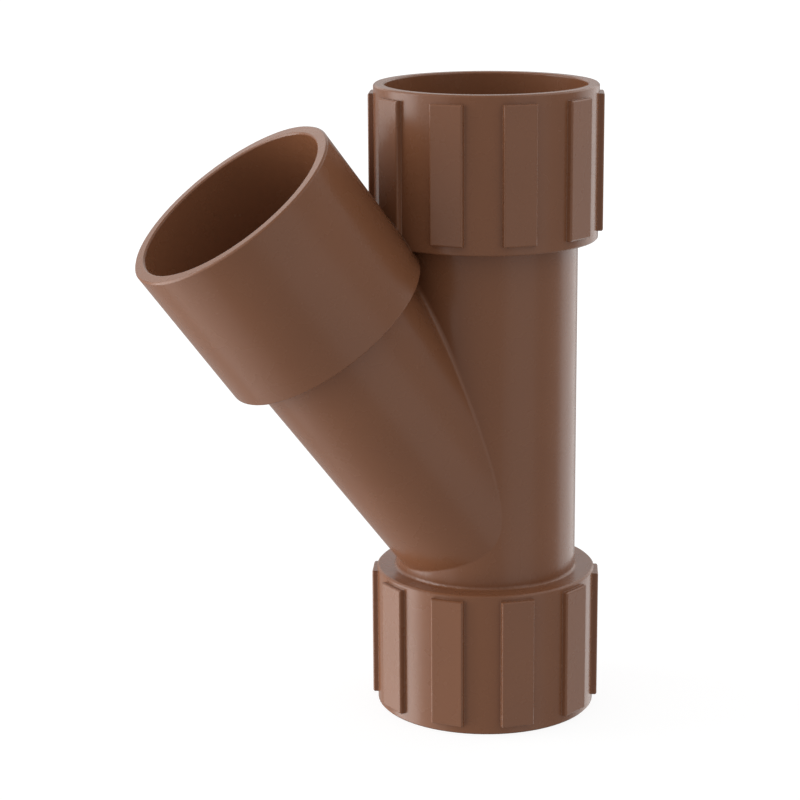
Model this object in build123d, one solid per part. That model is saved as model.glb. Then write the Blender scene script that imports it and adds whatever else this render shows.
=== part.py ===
from build123d import *
import os

# Lateral wye for glued plastic pipe, moulded in one piece, in millimetres.
# The run stands along +Z with its lower mouth at Z = 0.
# The branch leans towards +X and its axis crosses the run's axis.

# Sockets, all three alike inside
socket_bore = 50.2
socket_depth = 33.5
run_socket_wall = 2.8
branch_socket_wall = 2.95
mouth_lead_in = 0.35

# Necks and the passages through them
passage_bore = 40.0
passage_wall = 2.95
branch_root_narrowing = 1.1

# Shoulders, from a socket's stop to the outside step of its collar
lower_shoulder = 2.9
upper_shoulder = 4.8
branch_shoulder = 6.4

# Run and branch
run_length = 160.0
branch_angle = 37.0
branch_height = 45.0
branch_reach = 112.75

# Chamfers and fillets
mouth_chamfer = 0.4
lower_collar_chamfer = 0.45
upper_collar_chamfer = 0.25
branch_collar_chamfer = 0.25
lower_neck_fillet = 0.7
crease_fillet = 1.0

# Raised flat pads around the two run collars
pad_count = 10
pad_rise = 1.1
pad_width = 8.4
pad_first_angle = 8.1
pad_edge_chamfer = 0.3
pad_mouth_margin = 2.2
pad_lower_margin = 1.35
pad_upper_margin = 2.2

# Worked out from the sizes above
socket_radius = socket_bore / 2
run_collar_radius = socket_radius + run_socket_wall
branch_collar_radius = socket_radius + branch_socket_wall
passage_radius = passage_bore / 2
neck_radius = passage_radius + passage_wall
lower_collar = socket_depth + lower_shoulder
upper_collar = socket_depth + upper_shoulder
branch_collar = socket_depth + branch_shoulder
branch_place = Location((0, 0, branch_height), (0, branch_angle, 0))


def turned(*corners):
    """Solid turned about Z from corners: radius, height and, for a broken edge, its operation and size."""
    face = make_face(Polyline(*[corner[:2] for corner in corners], close=True))
    for radius, height, *edge in corners:
        if edge:
            operation, size = edge
            corner = face.vertices().sort_by_distance((radius, height, 0))[0]
            face = operation(corner, size)
    return revolve(Plane.XZ * face, Axis.Z)


def branch_neck_radius(distance):
    """Outside radius of the branch neck, a distance along the branch from the run's axis."""
    return neck_radius - branch_root_narrowing * (1 - distance / (branch_reach - branch_collar))


def necks():
    """Run neck and branch neck, solid through, with a moulded crease where they meet."""
    run_neck = turned((0, 0), (neck_radius, 0), (neck_radius, run_length), (0, run_length))
    branch_neck = turned(
        (0, 0),
        (branch_neck_radius(0), 0),
        (branch_neck_radius(branch_reach), branch_reach),
        (0, branch_reach),
    )
    body = run_neck + branch_place * branch_neck
    return fillet(body.edges().filter_by(GeomType.BSPLINE), crease_fillet)


def lower_run_collar():
    """Solid collar of the lower socket, with the fillet of its shoulder against the neck."""
    fillet_end = lower_collar + 2 * lower_neck_fillet
    return turned(
        (0, 0),
        (run_collar_radius, 0, chamfer, mouth_chamfer),
        (run_collar_radius, lower_collar, chamfer, lower_collar_chamfer),
        (neck_radius, lower_collar, fillet, lower_neck_fillet),
        (neck_radius, fillet_end),
        (0, fillet_end),
    )


def upper_run_collar():
    """Solid collar of the upper socket."""
    return turned(
        (0, run_length - upper_collar),
        (run_collar_radius, run_length - upper_collar, chamfer, upper_collar_chamfer),
        (run_collar_radius, run_length, chamfer, mouth_chamfer),
        (0, run_length),
    )


def branch_end_collar():
    """Solid plain collar of the branch socket."""
    return branch_place * turned(
        (0, branch_reach - branch_collar),
        (branch_collar_radius, branch_reach - branch_collar, chamfer, branch_collar_chamfer),
        (branch_collar_radius, branch_reach, chamfer, mouth_chamfer),
        (0, branch_reach),
    )


def run_passage():
    """Hollow of the run: a socket at each end and the passage between their stops."""
    upper_stop = run_length - socket_depth
    return turned(
        (0, 0),
        (socket_radius + mouth_lead_in, 0),
        (socket_radius, mouth_lead_in),
        (socket_radius, socket_depth),
        (passage_radius, socket_depth),
        (passage_radius, upper_stop),
        (socket_radius, upper_stop),
        (socket_radius, run_length - mouth_lead_in),
        (socket_radius + mouth_lead_in, run_length),
        (0, run_length),
    )


def branch_passage():
    """Hollow of the branch, opening into the run's passage."""
    stop = branch_reach - socket_depth
    return branch_place * turned(
        (0, 0),
        (passage_radius - branch_root_narrowing, 0),
        (passage_radius, stop),
        (socket_radius, stop),
        (socket_radius, branch_reach - mouth_lead_in),
        (socket_radius + mouth_lead_in, branch_reach),
        (0, branch_reach),
    )


def pad(length):
    """One flat pad standing on Z = 0, centred on +X, with its foot inside the collar wall."""
    depth = pad_rise + run_socket_wall / 2
    middle = run_collar_radius + pad_rise - depth / 2
    bar = Pos(middle, 0, length / 2) * Box(depth, pad_width, length)
    face_edges = bar.faces().sort_by(Axis.X)[-1].edges()
    return chamfer(face_edges, pad_edge_chamfer)


def pad_ring(start, length):
    """Pads evenly round a run collar, from height start."""
    bar = Pos(0, 0, start) * pad(length)
    pitch = 360 / pad_count
    return [Rotation(0, 0, pad_first_angle + pitch * number) * bar for number in range(pad_count)]


def run_pads():
    """Pads of both run collars, set in from the mouths and the shoulders."""
    upper_start = run_length - upper_collar + pad_upper_margin
    lower_length = lower_collar - pad_mouth_margin - pad_lower_margin
    upper_length = upper_collar - pad_mouth_margin - pad_upper_margin
    return pad_ring(pad_mouth_margin, lower_length) + pad_ring(upper_start, upper_length)


def outside():
    """Everything seen from outside, still solid through."""
    return necks() + lower_run_collar() + upper_run_collar() + branch_end_collar() + run_pads()


def main():
    """Outside less the two hollows."""
    body = outside() - run_passage() - branch_passage()
    os.makedirs("parts", exist_ok=True)
    export_step(body, "parts/wye_body.step")


main()
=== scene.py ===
import math
import bpy
from mathutils import Matrix, Vector

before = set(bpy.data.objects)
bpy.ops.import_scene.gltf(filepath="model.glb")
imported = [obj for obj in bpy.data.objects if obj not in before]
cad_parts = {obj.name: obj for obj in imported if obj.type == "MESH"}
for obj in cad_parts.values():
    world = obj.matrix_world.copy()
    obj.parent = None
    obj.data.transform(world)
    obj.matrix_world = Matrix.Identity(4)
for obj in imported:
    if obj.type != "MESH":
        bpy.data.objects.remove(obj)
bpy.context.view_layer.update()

# Lateral wye of brown moulded plastic, softly lit on a white floor.
# Lengths are in metres and angles in degrees, from the centre of the lower mouth.
# The run stands along +Z and the branch leans towards +X.

# Camera, where the photograph was taken from, with its lens and sensor in millimetres
CAMERA_DISTANCE = 0.58273
CAMERA_HEIGHT = 0.22419
CAMERA_AZIMUTH = 63.465
CAMERA_PAN = 2.1385
CAMERA_TILT = 13.9315
CAMERA_ROLL = -0.4005
CAMERA_LENS = 106.287
CAMERA_SENSOR = 36.0
CAMERA_NEAR = 0.01
CAMERA_FAR = 20.0

# Plastic: its linear colour, and for each noise the scale, in cells per metre
BROWN = (0.23, 0.093, 0.044, 1)
COLOUR_DRIFT = 0.05
COLOUR_SCALE = 22.0
PLASTIC_IOR = 1.45
PLASTIC_ROUGHNESS = 0.27
ROUGHNESS_DRIFT = 0.08
ROUGHNESS_SCALE = 140.0
GRAIN_HEIGHT = 0.0000015
GRAIN_SCALE = 2600.0
GRAIN_DETAIL = 1.0
EDGE_SOFTNESS = 0.00035
EDGE_SAMPLES = 8

# Noise, and the range that most of its values lie in
NOISE_DETAIL = 3.0
NOISE_ROUGHNESS = 0.55
NOISE_LOW = 0.3
NOISE_HIGH = 0.7

# Floor, and how much of its white gives way to the object's shadow, up to which distance
FLOOR_COLOUR = (0.9, 0.9, 0.9, 1)
FLOOR_HALF = 4.0
FLOOR_WHITE = 1.1
SHADOW_SHARE = 0.2
SHADOW_NEAR = 0.15
SHADOW_FAR = 0.45

# Plate under the lower mouth, as wide as its collar
PLATE_RADIUS = 0.0279
PLATE_CORNERS = 48
PLATE_DROP = 0.0001

# World, where 1 is white
WHITE = (1, 1, 1, 1)
AROUND = 0.4
BACKGROUND_IN_GLOSS = 0.1

# Place that the lights face, and how far from it they stand
STUDIO_CENTRE = Vector((0.02, 0.0, 0.08))
LIGHT_DISTANCE = 1.5


def direction(azimuth, rise=0.0):
    """Unit vector at an azimuth, from +X towards +Y, and a rise above level."""
    turn, lift = math.radians(azimuth), math.radians(rise)
    level = math.cos(lift)
    return Vector((math.cos(turn) * level, math.sin(turn) * level, math.sin(lift)))


def add_object(name, data):
    """Object in the scene that holds the data."""
    thing = bpy.data.objects.new(name, data)
    bpy.context.scene.collection.objects.link(thing)
    return thing


def new_tree(holder):
    """Emptied node tree of a material or world."""
    holder.use_nodes = True
    holder.node_tree.nodes.clear()
    return holder.node_tree


def new_node(tree, kind, **values):
    """Node with its input values set by name."""
    node = tree.nodes.new(kind)
    for name, value in values.items():
        node.inputs[name.replace("_", " ")].default_value = value
    return node


def add_math(tree, operation, *values):
    """Result of a math node, each input a number or another node's output."""
    node = tree.nodes.new("ShaderNodeMath")
    node.operation = operation
    for socket, value in zip(node.inputs, values):
        if isinstance(value, (int, float)):
            socket.default_value = value
        else:
            tree.links.new(value, socket)
    return node.outputs[0]


def add_noise(tree, place, scale, low, high, detail=NOISE_DETAIL):
    """Noise over the object, spread between two values."""
    noise = new_node(
        tree, "ShaderNodeTexNoise", Scale=scale, Detail=detail, Roughness=NOISE_ROUGHNESS
    )
    spread = new_node(
        tree, "ShaderNodeMapRange", From_Min=NOISE_LOW, From_Max=NOISE_HIGH, To_Min=low, To_Max=high
    )
    tree.links.new(place, noise.inputs["Vector"])
    tree.links.new(noise.outputs["Fac"], spread.inputs["Value"])
    return spread.outputs["Result"]


def mix_to_output(tree, kind, share, first, second):
    """Output node of a kind, with a share of the second shader and the rest of the first."""
    blend = new_node(tree, "ShaderNodeMixShader")
    output = new_node(tree, kind)
    tree.links.new(share, blend.inputs[0])
    tree.links.new(first.outputs[0], blend.inputs[1])
    tree.links.new(second.outputs[0], blend.inputs[2])
    tree.links.new(blend.outputs[0], output.inputs[0])


def moulded_plastic():
    """Satin plastic with a faint flow in its colour and gloss, soft edges and a fine grain."""
    material = bpy.data.materials.new("moulded_plastic")
    tree = new_tree(material)
    place = new_node(tree, "ShaderNodeTexCoord").outputs["Object"]
    shader = new_node(tree, "ShaderNodeBsdfPrincipled", IOR=PLASTIC_IOR)
    output = new_node(tree, "ShaderNodeOutputMaterial")
    tree.links.new(shader.outputs[0], output.inputs[0])

    shade = new_node(tree, "ShaderNodeHueSaturation", Color=BROWN)
    flow = add_noise(tree, place, COLOUR_SCALE, 1 - COLOUR_DRIFT, 1 + COLOUR_DRIFT)
    tree.links.new(flow, shade.inputs["Value"])
    tree.links.new(shade.outputs[0], shader.inputs["Base Color"])

    smoothest = PLASTIC_ROUGHNESS * (1 - ROUGHNESS_DRIFT)
    roughest = PLASTIC_ROUGHNESS * (1 + ROUGHNESS_DRIFT)
    gloss = add_noise(tree, place, ROUGHNESS_SCALE, smoothest, roughest)
    tree.links.new(gloss, shader.inputs["Roughness"])

    edges = new_node(tree, "ShaderNodeBevel", Radius=EDGE_SOFTNESS)
    edges.samples = EDGE_SAMPLES
    skin = new_node(tree, "ShaderNodeBump", Strength=1.0, Distance=GRAIN_HEIGHT)
    grain = add_noise(tree, place, GRAIN_SCALE, 0.0, 1.0, detail=GRAIN_DETAIL)
    tree.links.new(grain, skin.inputs["Height"])
    tree.links.new(edges.outputs[0], skin.inputs["Normal"])
    tree.links.new(skin.outputs[0], shader.inputs["Normal"])
    return material


def floor_paint():
    """Pale paint that the camera sees as white, but for the object's shadow near the origin."""
    paint = bpy.data.materials.new("floor")
    tree = new_tree(paint)
    place = new_node(tree, "ShaderNodeTexCoord").outputs["Object"]
    length = tree.nodes.new("ShaderNodeVectorMath")
    length.operation = "LENGTH"
    away = new_node(tree, "ShaderNodeMapRange", From_Min=SHADOW_NEAR, From_Max=SHADOW_FAR)
    away.interpolation_type = "SMOOTHSTEP"
    tree.links.new(place, length.inputs[0])
    tree.links.new(length.outputs["Value"], away.inputs["Value"])

    rays = new_node(tree, "ShaderNodeLightPath").outputs
    whiteness = add_math(
        tree, "MULTIPLY_ADD", away.outputs["Result"], SHADOW_SHARE, 1 - SHADOW_SHARE
    )
    share = add_math(tree, "MULTIPLY", rays["Is Camera Ray"], whiteness)
    lit = new_node(tree, "ShaderNodeBsdfDiffuse", Color=FLOOR_COLOUR)
    white = new_node(tree, "ShaderNodeEmission", Strength=FLOOR_WHITE)
    mix_to_output(tree, "ShaderNodeOutputMaterial", share, lit, white)
    return paint


def add_sheet(name, corners, paint):
    """Flat sheet of the stage, through its corners."""
    mesh = bpy.data.meshes.new(name)
    mesh.from_pydata(corners, [], [tuple(range(len(corners)))])
    mesh.materials.append(paint)
    sheet = add_object(name, mesh)
    return sheet


def add_floor():
    """Floor that lets the light from below past, and a plate that keeps it out of the run."""
    paint = floor_paint()
    half = FLOOR_HALF
    corners = [(-half, -half, 0), (half, -half, 0), (half, half, 0), (-half, half, 0)]
    floor = add_sheet("floor", corners, paint)
    floor.visible_shadow = False
    floor.visible_diffuse = False
    floor.visible_glossy = False
    turns = [360 * number / PLATE_CORNERS for number in range(PLATE_CORNERS)]
    rim = [direction(turn) * PLATE_RADIUS for turn in turns]
    add_sheet("plate", [(corner.x, corner.y, -PLATE_DROP) for corner in rim], paint)


def light_world():
    """Even light all round, which is white to the camera and a little whiter to glossy rays."""
    world = bpy.data.worlds.new("studio")
    bpy.context.scene.world = world
    tree = new_tree(world)
    around = new_node(tree, "ShaderNodeBackground", Color=WHITE, Strength=AROUND)
    seen = new_node(tree, "ShaderNodeBackground", Color=WHITE, Strength=1.0)
    rays = new_node(tree, "ShaderNodeLightPath").outputs
    direct = add_math(tree, "MAXIMUM", rays["Is Camera Ray"], rays["Is Transmission Ray"])
    share = add_math(tree, "MULTIPLY_ADD", rays["Is Glossy Ray"], BACKGROUND_IN_GLOSS, direct)
    mix_to_output(tree, "ShaderNodeOutputWorld", share, around, seen)


def width_of(angle):
    """Width that fills an angle at the lights' distance."""
    return 2 * LIGHT_DISTANCE * math.tan(math.radians(angle / 2))


def add_softbox(name, azimuth, rise, wide, tall, radiance):
    """Soft light with its azimuth to the right of the camera's, and wide and tall in degrees.

    Its radiance is 1 where it is as bright as the white background."""
    data = bpy.data.lights.new(name, "AREA")
    data.shape = "RECTANGLE"
    data.size = width_of(wide) * math.cos(math.radians(rise))
    data.size_y = width_of(tall)
    data.energy = math.pi * data.size * data.size_y * radiance
    light = add_object(name, data)
    away = direction(CAMERA_AZIMUTH + azimuth, rise)
    light.location = STUDIO_CENTRE + away * LIGHT_DISTANCE
    light.rotation_mode = "QUATERNION"
    light.rotation_quaternion = away.to_track_quat("Z", "Y")
    light.visible_camera = False


def add_camera():
    """Camera with no shift, panned left of the run's axis, tilted down and rolled."""
    data = bpy.data.cameras.new("camera")
    data.sensor_width = CAMERA_SENSOR
    data.lens = CAMERA_LENS
    data.clip_start = CAMERA_NEAR
    data.clip_end = CAMERA_FAR
    camera = add_object("camera", data)
    forward = direction(CAMERA_AZIMUTH + 180 + CAMERA_PAN, -CAMERA_TILT)
    level_right = forward.cross(Vector((0, 0, 1))).normalized()
    level_up = level_right.cross(forward)
    roll = math.radians(CAMERA_ROLL)
    right = level_right * math.cos(roll) + level_up * math.sin(roll)
    up = level_up * math.cos(roll) - level_right * math.sin(roll)
    turned = Matrix((right, up, -forward)).transposed()
    stand = direction(CAMERA_AZIMUTH) * CAMERA_DISTANCE
    stand.z = CAMERA_HEIGHT
    camera.matrix_world = Matrix.Translation(stand) @ turned.to_4x4()
    bpy.context.scene.camera = camera


plastic = moulded_plastic()
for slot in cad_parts["wye_body"].material_slots:
    slot.material = plastic

add_floor()
light_world()
add_softbox("left", azimuth=-93, rise=0, wide=38, tall=80, radiance=3.5)
add_softbox("left_front", azimuth=-54, rise=5, wide=32, tall=85, radiance=0.6)
add_softbox("left_top", azimuth=-80, rise=56, wide=80, tall=30, radiance=0.4)
add_softbox("left_low", azimuth=-78, rise=-46, wide=70, tall=28, radiance=0.7)
add_softbox("right_front", azimuth=46, rise=5, wide=40, tall=85, radiance=0.35)
add_softbox("right_top", azimuth=90, rise=52, wide=80, tall=36, radiance=0.7)
add_softbox("right_back", azimuth=132, rise=2, wide=48, tall=85, radiance=1.1)
add_softbox("left_back", azimuth=-142, rise=30, wide=36, tall=50, radiance=0.45)
add_softbox("back", azimuth=182, rise=26, wide=56, tall=24, radiance=0.62)
add_camera()

bpy.context.scene.view_settings.view_transform = "Standard"
